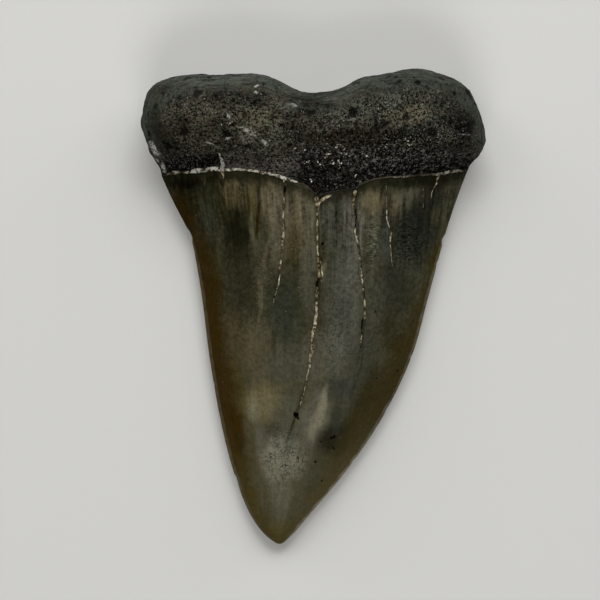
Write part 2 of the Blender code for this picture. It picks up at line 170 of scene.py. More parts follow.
# Soft stains, as (x, y, half width, half height, colour, strength, and a turn in degrees for some),
# and marks of chalky sediment on the root, as (x, y, half width, half height, turn, strength). On the
# enamel some of them are painted light: shade below the root, and a sheen down the middle.
ENAMEL_STAINS_SHADE_AND_SHEEN = [
    # The thin dark stains just below the enamel's end, at (-16.8, 47.3), (-12.7, 47.6), (12.2, 47.4),
    # (-8.6, 47.7) and (16.6, 47.6), are painted shade under the root's overhang.
    (-16.9, 44.6, 2, 4, (0.012, 0.01, 0.002), 0.85, 27), (-16.8, 47.3, 2.5, 1, INK, 0.97, -4),
    (-12.7, 47.6, 3.1, 0.6, SMOKE, 0.8, 3), (-14.1, 46.3, 1.7, 1, MOSS, 0.8),
    (-13.6, 41.7, 0.9, 3.9, SLATE, 0.6, 5), (-11.9, 44.6, 0.5, 1.7, SMOKE, 0.7, 35),
    (-10.1, 40.5, 1.8, 3.6, SMOKE, 0.92), (-9, 39.2, 0.39, 2.3, INK, 0.45),
    (-9.8, 34.6, 2.2, 5.4, (0.021, 0.019, 0.009), 0.75), (-10.5, 45.9, 1.6, 2.2, TAN, 0.7),
    (-7.9, 45.9, 0.6, 2.5, GOLD, 0.6), (-5.7, 44.6, 1.4, 3.1, BEIGE, 0.85),
    (-8.2, 41.6, 0.26, 3.1, BEIGE, 0.5, 5), (-7.4, 42.1, 0.25, 2.8, BARK, 0.9, -7),
    (-8.5, 45, 0.25, 2.6, BARK, 0.8), (-7, 46.8, 0.16, 1.6, BARK, 0.7),
    (-4.5, 42, 1.3, 5.4, (0.101, 0.091, 0.06), 0.8, -2), (-6.2, 37.4, 0.35, 2.4, BEIGE, 0.5, -9),
    (-7, 32.6, 0.35, 2.8, BEIGE, 0.45, -6), (-2, 44.2, 1.6, 2.8, BEIGE, 0.6),
    (-0.7, 42.8, 0.9, 3.2, (0.078, 0.072, 0.043), 0.7), (-2.1, 39.8, 1.8, 3.1, TAN, 0.5),
    (-3.8, 30.5, 2.2, 5, (0.026, 0.029, 0.021), 0.75, 3),
    (-0.8, 36.5, 1.1, 7.5, (0.074, 0.071, 0.05), 0.65, 2), (1.1, 35.8, 0.26, 1.3, CREAM, 0.4),
    # The grey column down the middle of the crown, at (2.5, 43) and (3.3, 30.5), is partly the enamel's
    # grey tone and partly a painted sheen.
    (2.5, 43, 1.6, 4.8, (0.062, 0.063, 0.046), 0.8), (1.3, 43.3, 0.16, 1.8, PEARL, 0.5),
    (3.1, 42.1, 0.19, 3.6, SMOKE, 0.45), (5.3, 38.5, 1, 7, (0.102, 0.099, 0.078), 0.8, -3),
    (4.5, 43, 0.8, 4.6, (0.11, 0.105, 0.082), 0.85), (3.3, 30.5, 2.3, 9.6, (0.069, 0.071, 0.057), 0.75),
    (2.6, 25.3, 1.9, 3.1, PEARL, 0.35), (3.2, 20.4, 1.9, 1.5, (0.036, 0.037, 0.031), 0.65, -10),
    (7.3, 44.5, 1.9, 2, (0.094, 0.08, 0.046), 0.9), (10.2, 44.6, 2.2, 1.4, (0.086, 0.072, 0.04), 0.8),
    (12.4, 45.4, 1.9, 1.4, (0.086, 0.08, 0.055), 0.85, 12),
    (12.2, 47.4, 3.2, 0.6, (0.014, 0.016, 0.01), 0.75, 3), (7.7, 39.8, 1, 3.4, SILVER, 0.4),
    (12.8, 40.8, 3.3, 4.7, NIGHT, 0.88, -8), (15.4, 45.7, 1.6, 1.8, NIGHT, 0.75, -15),
    (9.3, 40.6, 0.8, 3.6, (0.053, 0.058, 0.049), 0.6), (10.1, 35.2, 1, 1.8, SMOKE, 0.45),
    (10.6, 34, 2.4, 4, (0.031, 0.033, 0.025), 0.6, -6), (0.1, 24.4, 1.9, 3.8, (0.09, 0.085, 0.06), 0.7, -8),
    (5.7, 32, 1, 5.6, (0.086, 0.085, 0.066), 0.65, -3), (7.8, 32, 1.5, 5.8, (0.06, 0.061, 0.045), 0.55, -3),
    (11.6, 26.2, 1.4, 3.4, OLIVE, 0.5, -12), (5.6, 22.7, 0.18, 3.9, SMOKE, 0.6, -13),
    (4.4, 19, 1.1, 3.4, (0.05, 0.052, 0.04), 0.5, -13), (7.6, 20.6, 2.3, 2.9, OLIVE, 0.65, -15),
    (-10.4, 26, 2.2, 4.4, TAN, 0.5, 5), (-7.3, 25.2, 1.6, 4.5, BEIGE, 0.55),
    (-3.8, 23.8, 2.5, 3, (0.074, 0.071, 0.047), 0.65), (-6.7, 18.8, 2.7, 2.5, (0.146, 0.124, 0.064), 0.85),
    (-8.1, 18.2, 0.8, 1.9, CREAM, 0.4), (-3.5, 17.6, 2, 2.8, (0.074, 0.073, 0.047), 0.7),
    (-10.2, 14.6, 1, 3.8, BARK, 0.85, 12), (-5, 14.8, 1.8, 1, SLATE, 0.55),
    (-4, 11.4, 2.7, 3.4, (0.178, 0.17, 0.122), 0.9, -8), (-6.7, 13.1, 0.8, 3.6, PEARL, 0.5, 12),
    (-5.6, 11, 1.3, 2.8, (0.195, 0.185, 0.13), 0.6), (-2.9, 13.7, 0.6, 2.8, SILVER, 0.5, -25),
    (0.2, 16.6, 1.9, 3.7, PEARL, 0.65, -16), (1.3, 18.4, 0.5, 2, CREAM, 0.75, -6),
    (0.5, 16, 0.9, 2.4, CREAM, 0.75, -16), (2.9, 13.9, 2.7, 2.2, (0.011, 0.012, 0.007), 0.88, 34),
    (4.3, 12.9, 3.2, 1.7, (0.021, 0.02, 0.008), 0.75, 46),
    (2.9, 16.9, 0.7, 2.4, (0.036, 0.038, 0.027), 0.8), (6.1, 17.2, 1.7, 2.8, OLIVE, 0.7, -22),
    (0.5, 9.1, 1.4, 2.8, FERN, 0.5, -28), (4.1, 11.6, 1.7, 0.5, BEIGE, 0.4, 48),
    (-4.3, 6.4, 1.5, 2.6, (0.118, 0.109, 0.071), 0.5), (-3.9, 7.4, 1.7, 2.2, (0.122, 0.114, 0.078), 0.35),
    (-4.7, 1.8, 1.9, 1.8, (0.09, 0.071, 0.021), 0.75), (-7.3, 4.5, 0.8, 3.2, GOLD, 0.6, 22),
    (-10.2, 9.9, 0.9, 2.6, HONEY, 0.5, 12), (-13, 34.5, 1.1, 4.5, (0.04, 0.029, 0.005), 0.4, 3),
    (-10.3, 20.2, 1.3, 4.6, (0.064, 0.049, 0.013), 0.6, 6), (-8.6, 47.7, 2, 0.6, SMOKE, 0.4),
    (16.6, 47.6, 1.6, 0.6, MOSS, 0.55, 6), (3.8, 45.5, 1.4, 0.7, (0.1, 0.095, 0.07), 0.5),
    (4.6, 37, 0.9, 4, (0.106, 0.104, 0.085), 0.5, -3), (9.3, 38.6, 0.9, 1.8, (0.035, 0.038, 0.03), 0.5),
    (6.3, 24.4, 1.2, 4.6, (0.047, 0.049, 0.038), 0.5, -11),
]
LABIAL_STAINS = [
    (-6, 40, 6, 5, SLATE, 0.6, 10), (7.5, 37, 4.5, 6, TAN, 0.4, -12), (1, 26, 3, 9, SILVER, 0.5, 4),
    (-7, 20, 2.5, 6, OLIVE, 0.6, -8), (-2, 9, 3, 5, PEARL, 0.5, 10), (5, 18, 2, 5, HONEY, 0.5, -20),
]
ROOT_STAINS = [
    (-18.3, 58.3, 3.4, 1.2, GREEN_BONE, 0.6, 20), (-4.7, 53.6, 1.7, 1.1, (0.062, 0.06, 0.046), 0.6, -10),
    (5.3, 54.9, 0.8, 1.1, (0.06, 0.058, 0.048), 0.6), (9.8, 58, 2.8, 1.1, (0.052, 0.055, 0.046), 0.5),
    (19.3, 57.8, 1.1, 1.6, GREEN_BONE, 0.5, 25), (-19, 54, 1.5, 1.4, (0.015, 0.012, 0.009), 0.6),
    (0.8, 59.1, 3.2, 0.8, DARK_BONE, 0.6), (-15.4, 55.1, 4.1, 2.8, BROWN_BONE, 0.8),
    (-8.3, 54.9, 2.8, 2, OLIVE_BONE, 0.8), (-11.1, 58.4, 4.4, 0.8, DARK_BONE, 0.6, -3),
    (-6.7, 57.6, 1.5, 1.2, DARK_BONE, 0.35), (-2.2, 54.7, 2.5, 2.8, BLACK_BONE, 0.4),
    (-1.8, 57.8, 3.1, 0.8, GREY_BONE, 0.4, -18), (4, 56.3, 3.6, 1.8, GREY_BONE, 0.5),
    (9.6, 55.5, 1.3, 0.8, SAND_BONE, 0.4), (13, 56, 1.9, 1.4, SAND_BONE, 0.7, 10),
    (4.6, 52.9, 6.4, 1.2, (0.011, 0.009, 0.006), 0.95), (16.3, 57.7, 1.3, 1, BLACK_BONE, 0.5),
    (15.6, 54.8, 1, 0.9, GREY_BONE, 0.6), (19.6, 54.4, 1.2, 1.9, BLACK_BONE, 0.9, -20),
    (12.5, 60, 5, 1.1, (0.025, 0.028, 0.024), 0.7, -4), (-5.6, 51.6, 3.2, 1, (0.052, 0.05, 0.038), 0.5, 6),
    (5, 56.4, 0.5, 0.6, BLACK_BONE, 0.6), (12.2, 53.4, 2.6, 0.7, DARK_BONE, 0.5, -5),
    (13.5, 51.3, 6.4, 1.8, DARK_BONE, 0.6, 4), (10.6, 53.2, 2.4, 0.9, BLACK_BONE, 0.5),
    (-0.5, 57.6, 3.4, 0.8, DARK_BONE, 0.75, -8), (-5.8, 55.6, 1.6, 2.2, OLIVE_BONE, 0.6),
    (-6, 51.9, 2.8, 0.8, GREY_BONE, 0.35), (18.4, 52.4, 2.4, 1, DARK_BONE, 0.6),
    (-8.2, 53, 1.1, 0.9, (0.11, 0.106, 0.084), 0.5, 20),
    (-3.7, 56.8, 1.2, 0.6, (0.115, 0.113, 0.098), 0.4, -20), (-17.2, 55.2, 1.6, 1.3, DARK_BONE, 0.45),
    (-9.4, 58, 1.6, 0.7, DARK_BONE, 0.45), (1.2, 54.2, 0.9, 0.8, (0.05, 0.047, 0.04), 0.5),
    (-5.5, 57, 2.5, 0.8, DARK_BONE, 0.4, -15), (-14.8, 58.6, 1, 0.5, (0.085, 0.085, 0.07), 0.5),
    (15.5, 57.5, 4, 3.5, (0.034, 0.038, 0.034), 0.12), (16.8, 56.4, 1.8, 1.6, DARK_BONE, 0.25),
]
CHALK_MARKS = [
    (-20.9, 51.9, 0.35, 0.8, 24, 0.9), (-20.6, 50.2, 0.2, 0.4, 24, 0.5), (-19.9, 49.4, 0.3, 0.7, 20, 0.7),
    (-11, 55.6, 0.2, 0.5, 12, 0.6), (-8.4, 53.8, 0.45, 0.22, -20, 0.6), (-9.1, 54.3, 0.3, 0.2, 0, 0.4),
    (-7.4, 53.5, 0.5, 0.2, -20, 0.35), (-6.2, 52.4, 0.36, 0.22, -40, 0.8), (-11, 52.9, 0.5, 0.14, 14, 0.7),
    (-13.7, 52.5, 0.5, 0.13, -20, 0.5), (-7.4, 59.6, 0.3, 0.13, 20, 0.7), (-7.4, 58.9, 0.3, 0.16, 0, 0.6),
    (-2.9, 57, 0.5, 0.15, -14, 0.55), (-1.6, 52.3, 0.3, 0.2, 0, 0.35), (19.6, 53.5, 1.2, 0.08, 2, 0.3),
]

# Sand and crusts stuck on the root: clusters of three grains as (x, y), and crusts as (x, y, radius,
# number of grains).
SAND_CLUSTERS = [
    (-1.4, 51.1), (2.1, 51), (2.9, 51.8), (3.3, 51.9), (3.8, 51.5), (3.3, 51), (1.6, 50.7), (2.3, 50),
    (3.2, 49.9), (3.3, 49.2), (3.4, 49.5), (0.4, 49.9), (4.6, 51), (6.9, 50.6), (11.8, 52.8), (12.2, 51.9),
    (12.5, 52.2), (9.3, 51.7), (5.2, 48.2), (5.3, 46.1), (-0.9, 49.8), (-2.6, 51.3), (-0.4, 47.6),
]
CRUSTS = [
    (-10.9, 55.6, 0.4, 6), (-8.2, 53.6, 0.5, 7), (-6.1, 52.3, 0.4, 5), (-11.1, 52.8, 0.5, 6),
    (-7.3, 59.5, 0.4, 5), (-6.7, 58.5, 0.4, 4), (-2.2, 57.2, 0.5, 5), (-1.4, 56.6, 0.4, 5),
    (-12, 54.6, 0.3, 3), (-10.7, 54.9, 0.3, 3), (-3.4, 51.8, 0.3, 4), (-12.1, 49.9, 0.3, 9),
]


# --- fields over the surface

def smooth_line(points, steps=10):
    """A smooth line through a few (x, y) points, as an array of points."""
    knots = [Vector(p) for p in points]
    path = [2 * knots[0] - knots[1], *knots, 2 * knots[-1] - knots[-2]]
    headings = [(path[n + 1] - path[n - 1]).normalized() for n in range(1, len(path) - 1)]
    line = [knots[0]]
    for n, (start, end) in enumerate(zip(knots, knots[1:])):
        reach = (end - start).length / 3
        handles = start + headings[n] * reach, end - headings[n + 1] * reach
        line += interpolate_bezier(start, *handles, end, steps)[1:]
    return np.array([tuple(p)[:2] for p in line])


def above(line, x, y):
    """How far each point lies above a line that runs from left to right."""
    return y - np.interp(x, *line.T)


def rise(value, start, end):
    """0 up to start, 1 from end, and smooth between them."""
    share = np.clip((value - start) / (end - start), 0, 1)
    return share * share * (3 - 2 * share)


def away_from(line, x, y):
    """Each point's distance in plan to a line, and how far along the line it is nearest."""
    nearest, along = np.full(len(x), np.inf), np.zeros(len(x))
    run = 0
    for (ax, ay), (bx, by) in zip(line, line[1:]):
        length = math.hypot(bx - ax, by - ay)
        share = np.clip(((x - ax) * (bx - ax) + (y - ay) * (by - ay)) / length**2, 0, 1)
        gap = np.hypot(x - ax - share * (bx - ax), y - ay - share * (by - ay))
        along = np.where(gap < nearest, run + share * length, along)
        nearest = np.minimum(nearest, gap)
        run += length
    return nearest, along


def rough(points, size, octaves=3, stretch=(1, 1, 1), seed=0):
    """Fractal noise, about -1 to 1, with its largest features about a size across."""
    spots = points * (np.array(stretch) / size) + seed * np.array([17.3, 9.1, 5.7])
    return np.array([noise.fractal(spot, 1, 2, octaves) for spot in spots.tolist()])


def jagged(x, y):
    """Places in plan moved a little to and fro, so that a line through them becomes jagged."""
    flat = np.column_stack([x, y, 0 * x])
    moved = [0.09 * rough(flat, 1.3, 3, seed=n) + 0.04 * rough(flat, 0.4, 2, seed=n + 20) for n in (2, 3)]
    return x + moved[0], y + moved[1]


def crack_fields(x, y):
    """Each place's distance outside the nearest crack's or pit's edge, and how filled that one is."""
    gap, fill = np.full(len(x), FAR), np.ones(len(x))
    for crack in CRACKS.values():
        places = np.array(crack)
        run = np.concatenate([[0], np.cumsum(np.hypot(*np.diff(places[:, :2], axis=0).T))])
        distance, along = away_from(places[:, :2], x, y)
        outside = distance - np.interp(along, run, places[:, 2])
        fill = np.where(outside < gap, np.interp(along, run, places[:, 3]), fill)
        gap = np.minimum(gap, outside)
    for pit_x, pit_y, radius in PITS:
        outside = np.hypot(x - pit_x, y - pit_y) - radius
        fill = np.where(outside < gap, 0, fill)
        gap = np.minimum(gap, outside)
    return gap, fill


# --- the tooth's surface

def linked(name, data):
    """A new object at the origin."""
    made = bpy.data.objects.new(name, data)
    bpy.context.scene.collection.objects.link(made)
    return made


def finished_mesh(name, bm, *finishes):
    """A new object from a bmesh, with its materials."""
    mesh = bpy.data.meshes.new(name)
    bm.to_mesh(mesh)
    bm.free()
    for finish in finishes:
        mesh.materials.append(finish)
    return linked(name, mesh)


def refine(bm, reach):
    """Splits the top's faces within a reach of a crack or of the enamel's end, to hold fine detail."""
    top = [face for face in bm.faces if face.normal.z > 0.2]
    x, y, _ = (np.array([tuple(face.calc_center_median()) for face in top]) / MM - np.array(OFFSET)).T
    end = np.abs(above(smooth_line(np.array(ENAMEL_END)[:, :2], 4), x, y))
    near = np.minimum(crack_fields(x, y)[0], end)
    edges = {edge for face, gap in zip(top, near) if gap < reach for edge in face.edges}
    bmesh.ops.subdivide_edges(bm, edges=list(edges), cuts=1, use_grid_fill=True)


def smooth_copy():
    """The solid tooth's faces, merged and subdivided, with the cutting edges kept sharp."""
    bm = bmesh.new()
    bm.from_mesh(solid.data)
    bmesh.ops.remove_doubles(bm, verts=bm.verts, dist=0.002 * MM)
    bend, skew = math.radians(60), math.radians(80)
    bmesh.ops.join_triangles(bm, faces=bm.faces, angle_face_threshold=bend, angle_shape_threshold=skew)
    crease = bm.edges.layers.float.new("crease_edge")
    sharp_angle, sharpness = 0.7, 0.85
    for edge in bm.edges:
        if edge.calc_face_angle(0) > sharp_angle:
            edge[crease] = sharpness
    tooth = finished_mesh("fossil_tooth", bm)
    smoothing = tooth.modifiers.new("smoothing", "SUBSURF")
    smoothing.levels = smoothing.render_levels = 2
    smoothed = tooth.evaluated_get(bpy.context.evaluated_depsgraph_get())
    tooth.data = bpy.data.meshes.new_from_object(smoothed)
    tooth.modifiers.clear()
    bm = bmesh.new()
    bm.from_mesh(tooth.data)
    for reach in (0.28, 0.08):
        refine(bm, reach)
    bm.to_mesh(tooth.data)
    bm.free()
    return tooth


def read(mesh, what):
    """A vector of each vertex, such as its place or its normal, as an array."""
    values = np.empty(len(mesh.vertices) * 3, np.float32)
    mesh.vertices.foreach_get(what, values)
    return values.reshape(-1, 3).astype(float)


def outline_of(x, y):
    """The crown's left and right outlines and the root's, read off the points near many levels."""
    def sides(levels):
        rows = [x[np.abs(y - level) < 0.6] for level in levels]
        return [[(end(row), level) for row, level in zip(rows, levels)] for end in (np.min, np.max)]

    left, right = sides(np.arange(0, 49, 0.8))
    root_left, root_right = sides(np.arange(48.4, 58, 0.8))
    top = [(level, y[np.abs(x - level) < 0.4].max()) for level in np.arange(-21.4, 21, 0.5)]
    return np.array(left), np.array(right), np.array(root_left + top + root_right[::-1])


def carve_root(points, fields):
    """How far the root's surface moves out, with lumps, fibres along its rim, pits and a groove, and
    how deep its pits are."""
    x, y, z = points.T
    bone, rim, neck = fields["bone"], fields["rim"], fields["neck"]
    root = rise(neck, 0.05, 0.5)
    band = rise(rim, 2.8, 1) * bone
    lumps = 0.15 * rough(points, 3.2, 3, seed=6) + 0.09 * rough(points, 1.1, 2, seed=7)
    lumps += 0.1 * rough(points, 0.6, 2, seed=8)
    fibres = 0.1 * rough(np.column_stack([fields["girth"] * 0.14, rim, z]), 0.8, 3, seed=9)
    pits = 0.4 * np.clip(rough(points, 1.6, 3, seed=10) - 0.28, 0, 1)
    pits += 0.32 * np.clip(rough(points, 0.8, 2, seed=11) - 0.28, 0, 1)
    moved = bone * (lumps * (1 - 0.5 * band) - pits * (1 - 0.8 * band)) + band * fibres
    groove = (root - bone) * rise(neck, 0.1, 0.5) * rise(rim, 0.2, 1.6) * fields["inner"]
    moved -= groove * (0.1 + 0.2 * rise(np.abs(x - 1), 7, 11))
    moved += (root - bone) * (0.05 * rough(points, 0.9, 3, seed=12) + 0.04 * rough(points, 0.5, 2, seed=13))
    hollow = 0.6 * np.exp(-((np.hypot(x - 5, y - 56.2) / 0.45) ** 2)) * bone
    return moved - hollow, pits * bone + hollow


def carve_enamel(points, fields):
    """How far the enamel moves out, with an uneven skin, a lip at the neck, and its cracks and pits,
    and how deep the cracks and pits are."""
    neck, inner = fields["neck"], fields["inner"]
    enamel = 1 - rise(neck, -0.05, 0.05)
    grown = np.column_stack([fields["across"] * CROWN_WIDTH, points[:, 1], 0 * points[:, 2]])
    ribs = rough(grown, 1.1, 2, (1, 0.09, 1), seed=14)
    moved = 0.035 * rough(points, 5, 2, seed=15) + (0.006 + 0.022 * rise(neck, -9, -1)) * ribs
    moved *= rise(fields["edge"], 0.2, 2)
    lip = (0.06 + 0.03 * rough(points, 0.6, 2, seed=16)) * rise(neck, -0.6, -0.12) * inner
    depth = (0.07 + 0.27 * (1 - fields["fill"])) * rise(fields["crack"], 0.05, -0.1)
    return enamel * (moved + lip - depth), depth * enamel


def nick_edges(points):
    """Bites small nicks out of the cutting edges, towards the middle of the crown, which leans."""
    lean = 0.09
    for x, y, radius, depth in NICKS:
        distance = np.hypot(points[:, 0] - x, points[:, 1] - y)
        bite = depth * np.clip(1 - (distance / radius) ** 2, 0, 1)
        points[:, 0] -= np.sign(x - TIP_X - lean * y) * bite
    return points


def surface_fields(points, normals):
    """What the carving and the finishes need to know at each point of the surface."""
    x, y, _ = points.T
    left, right, around = outline_of(x, y)
    inner = (normals[:, 2] > 0).astype(float)
    end = np.array(ENAMEL_END)
    labial = above(smooth_line(LABIAL_NECK), x, y)
    neck = np.where(inner > 0.5, above(smooth_line(end[:, :2], 4), x, y), labial)
    row_left, row_right = (np.interp(y, line[:, 1], line[:, 0]) for line in (left, right))
    crack, fill = crack_fields(*jagged(x, y))
    rim, girth = away_from(around, x, y)
    ledge = above(smooth_line(LEDGE), x, y) + 0.35 * rough(points, 2.2, 3, seed=5)
    return {
        "inner": inner,
        "neck": neck,
        "bone": rise(neck, 0.05, 0.5) * np.where(inner > 0.5, rise(ledge, -0.35, 0.25), 1),
        "rim": rim,
        "girth": girth,
        "edge": np.minimum(away_from(left, x, y)[0], away_from(right, x, y)[0]),
        "across": np.clip((x - row_left) / np.maximum(row_right - row_left, 0.5), 0, 1),
        "crack": np.where(inner > 0.5, crack, FAR),
        "fill": fill,
        "line_width": np.where(inner > 0.5, np.interp(x, end[:, 0], end[:, 2]), -FAR),
        "line_paleness": np.interp(x, end[:, 0], end[:, 3]),
    }


def make_tooth():
    """The tooth with all its fine shapes, and with the fields that its two materials read."""
    tooth = smooth_copy()
    mesh = tooth.data
    points, normals = read(mesh, "co") / MM - np.array(OFFSET), read(mesh, "normal")
    fields = surface_fields(points, normals)
    root_moved, root_hollow = carve_root(points, fields)
    enamel_moved, enamel_hollow = carve_enamel(points, fields)
    lying = 1 - (1 - rise(points[:, 2], 0.3, 1.5)) * rise(-normals[:, 2], 0.3, 0.9)
    points += normals * ((root_moved + enamel_moved) * lying)[:, None]
    points = nick_edges(points)
    points[:, 2] = np.maximum(points[:, 2], 0)
    fields["hollow"] = root_hollow + enamel_hollow
    mesh.vertices.foreach_set("co", ((points + np.array(OFFSET)) * MM).astype(np.float32).ravel())
    for name, values in fields.items():
        mesh.attributes.new(name, "FLOAT", "POINT").data.foreach_set("value", values.astype(np.float32))
    for finish in (enamel_finish(), root_finish()):
        mesh.materials.append(finish)
    for face in mesh.polygons:
        face.material_index = int(np.mean(fields["neck"][list(face.vertices)]) > 0)
    mesh.shade_smooth()
    mesh.update()
    return tooth


# --- sand and sediment

def add_grain(bm, place, size, turn):
    """One rough, long grain: a small ball with its points moved in and out, then turned and placed."""
    ball = bmesh.ops.create_icosphere(bm, subdivisions=1, radius=0.5)["verts"]
    for vertex in ball:
        vertex.co *= 1 + 0.6 * noise.noise(vertex.co * 2.3 + place * 5.1)
    squashed = Matrix.Diagonal((size, size * 0.55, size * 0.5, 1))
    bmesh.ops.transform(bm, matrix=Matrix.Translation(place) @ turn @ squashed, verts=ball)


def grains_piece(name, surface, grains, finish):
    """Grains joined in one piece, each part sunk in the surface: (x, y, size, sunk share) for each."""
    chance = np.random.default_rng(5)
    above_all, down = 30, Vector((0, 0, -1))
    bm = bmesh.new()
    for x, y, size, sunk in grains:
        turn = Matrix.Rotation(chance.uniform(0, 6.28), 4, "Z")
        turn = turn @ Matrix.Rotation(chance.normal(0, 0.4), 4, "Y")
        place, normal, _, _ = surface.ray_cast(Vector((x, y, above_all)) + OFFSET, down)
        if place is not None:
            add_grain(bm, place - normal * size * sunk, size, turn)
    bmesh.ops.scale(bm, verts=bm.verts, vec=(MM, MM, MM))
    return finished_mesh(name, bm, finish)


def sand_on_root():
    """Clusters and crusts of sand, and single grains strewn over the lower root."""
    chance = np.random.default_rng(6)
    grains = []
    for x, y in SAND_CLUSTERS:
        spread = chance.normal(0, 0.16, (3, 2))
        grains += [(x + dx, y + dy, chance.uniform(0.22, 0.55), 0.2) for dx, dy in spread]
    for x, y, radius, count in CRUSTS:
        spread = chance.normal(0, radius * 0.5, (count, 2))
        grains += [(x + dx, y + dy, chance.uniform(0.14, 0.32), 0.25) for dx, dy in spread]
    spread = chance.normal((2.5, 50.3), (5, 1.4), (90, 2))
    return grains + [(x, y, chance.uniform(0.1, 0.24), 0.25) for x, y in spread]


def sediment_in_cracks():
    """Fine grains packed in the filled stretches of the cracks, and along the enamel's end."""
    chance = np.random.default_rng(7)
    per_mm = 7
    places = []
    for crack in CRACKS.values():
        for (ax, ay, wide, filled), (bx, by, _, _) in zip(crack, crack[1:]):
            if filled > 0.5 and wide > 0.02:
                length = math.hypot(bx - ax, by - ay)
                for share in chance.uniform(0, 1, int(length * per_mm * filled) + 1):
                    side = chance.uniform(-0.7, 0.7) * wide
                    places.append((ax + (bx - ax) * share + side, ay + (by - ay) * share, wide))
    for (ax, ay, wide, pale), (bx, by, _, _) in zip(ENAMEL_END, ENAMEL_END[1:]):
        for share in chance.uniform(0, 1, int((bx - ax) * per_mm * pale)):
            side = chance.uniform(-0.8, 0.8) * wide
            places.append((ax + (bx - ax) * share, ay + (by - ay) * share + side, wide))
    x, y, wide = np.array(places).T
    moved_x, moved_y = jagged(x, y)
    size = np.clip(wide * chance.uniform(0.7, 1.7, len(wide)), 0.07, 0.24)
    return np.column_stack([2 * x - moved_x, 2 * y - moved_y, size, np.full(len(x), 0.15)])


# --- materials

class Wiring:
    """Adds shader nodes to a tree and joins them. A value is a number, a colour or a socket. Patterns
    are read at the places in where unless others are given, and blots at those in flat, with their
    edges moved by wobble."""

    def __init__(self, tree, where=None):
        self.tree, self.where, self.flat, self.wobble = tree, where, where, 0

    def add(self, kind, inputs=(), result=0, **settings):
        node = self.tree.nodes.new("ShaderNode" + kind)
        for name, setting in settings.items():
            setattr(node, name, setting)
        for name, value in dict(inputs).items():
            self.set(node.inputs[name], value)
        return node.outputs[result]

    def set(self, socket, value):
        if isinstance(value, bpy.types.NodeSocket):
            self.tree.links.new(value, socket)
        elif socket.type == "RGBA" and len(value) == 3:
            socket.default_value = (*value, 1)
        else:
            socket.default_value = value

    def feed(self, node, inputs):
        """Sets a node's inputs by their names, in which _ stands for a space."""
        for name, value in inputs.items():
            self.set(node.inputs[name.replace("_", " ")], value)

    def math(self, operation, *values, clamp=False):
        return self.add("Math", enumerate(values), operation=operation, use_clamp=clamp)

    def chained(self, operation, result, *values):
        for value in values:
            result = self.math(operation, result, value)
        return result

    def times(self, *values):
        return self.chained("MULTIPLY", *values)

    def plus(self, *values):
        return self.chained("ADD", *values)

    def most(self, *values):
        return self.chained("MAXIMUM", *values)

    def fit(self, value, factor, shift):
        """A value times a factor, plus a shift."""
        return self.math("MULTIPLY_ADD", value, factor, shift)

    def vector(self, operation, *values):
        return self.add("VectorMath", enumerate(values), operation=operation)

    def ramp(self, value, start, end, low=0, high=1):
        """low up to start, high from end, and smooth between them."""
        inputs = {"Value": value, "From Min": start, "From Max": end, "To Min": low, "To Max": high}
        return self.add("MapRange", inputs, interpolation_type="SMOOTHSTEP")

    def mix(self, share, first, second, blend="MIX"):
        inputs = {0: share, 6: first, 7: second}
        return self.add("Mix", inputs, result=2, data_type="RGBA", blend_type=blend)

    def scaled(self, value, factor):
        """A colour or a place multiplied by a factor."""
        return self.add("VectorMath", {0: value, 3: factor}, operation="SCALE")

    def fields(self, *names):
        """The fields that the tooth's surface carries."""
        return [self.add("Attribute", result="Fac", attribute_name=name) for name in names]

    def moved(self, where, place=(0, 0, 0), turn=(0, 0, 0), size=(1, 1, 1), kind="POINT"):
        inputs = {"Vector": where, "Location": place, "Rotation": turn, "Scale": size}
        return self.add("Mapping", inputs, vector_type=kind)

    def noise(self, size, detail=2, roughness=0.5, at=None, result="Fac"):
        inputs = {"Vector": at or self.where, "Scale": 1 / size, "Detail": detail, "Roughness": roughness}
        return self.add("TexNoise", inputs, result=result)

    def cells(self, size, result="Distance", at=None, **settings):
        inputs = {"Vector": at or self.where, "Scale": 1 / size}
        return self.add("TexVoronoi", inputs, result=result, **settings)

    def cell_chance(self, size):
        """A random number for each cell, 0 to 1."""
        return self.add("SeparateColor", {"Color": self.cells(size, "Color")}, result="Red")

    def split(self, axis):
        return self.add("SeparateXYZ", {"Vector": self.where}, result=axis)

    def group(self, tree, **inputs):
        """A shared effect's output, with its inputs given by name."""
        node = self.tree.nodes.new("ShaderNodeGroup")
        node.node_tree = tree
        self.feed(node, {"Where": self.where, **inputs})
        return node.outputs[0]


def shared_effect(name, inputs, outputs):
    """An empty node group with its inputs, one of them Where, and outputs, and its wiring and ends."""
    tree = bpy.data.node_groups.new(name, "ShaderNodeTree")
    for title, kind in inputs.items():
        tree.interface.new_socket(title, in_out="INPUT", socket_type="NodeSocket" + kind)
    for title, kind in outputs.items():
        tree.interface.new_socket(title, in_out="OUTPUT", socket_type="NodeSocket" + kind)
    given, out = tree.nodes.new("NodeGroupInput").outputs, tree.nodes.new("NodeGroupOutput").inputs
    return tree, Wiring(tree, given["Where"]), given, out


def stain_effect():
    """A soft blot, 1 in its middle and 0 outside, with its edge moved in and out by a wobble."""
    inputs = {"Where": "Vector", "Place": "Vector", "Size": "Vector", "Turn": "Vector", "Wobble": "Float"}
    tree, wire, given, out = shared_effect("stain", inputs, {"Mask": "Float"})
    local = wire.moved(wire.where, given["Place"], given["Turn"], given["Size"], "TEXTURE")
    ball = wire.add("TexGradient", {"Vector": local}, result="Fac", gradient_type="SPHERICAL")
    wire.set(out["Mask"], wire.ramp(wire.fit(given["Wobble"], -0.5, ball), 0.3, 0.775))
    return tree


def speckle_effect():
    """Fine mineral specks: sharp-edged grains of a size, over a share of the surface."""
    inputs = {"Where": "Vector", "Size": "Float", "Share": "Float"}
    tree, wire, given, out = shared_effect("mineral specks", inputs, {"Mask": "Float"})
    spread = wire.scaled(wire.where, wire.math("DIVIDE", 1, given["Size"]))
    grain = wire.noise(1, 1.5, 0.6, at=spread)
    start = wire.math("SUBTRACT", 0.86, given["Share"])
    wire.set(out["Mask"], wire.ramp(grain, start, wire.plus(start, 0.1)))
    return tree


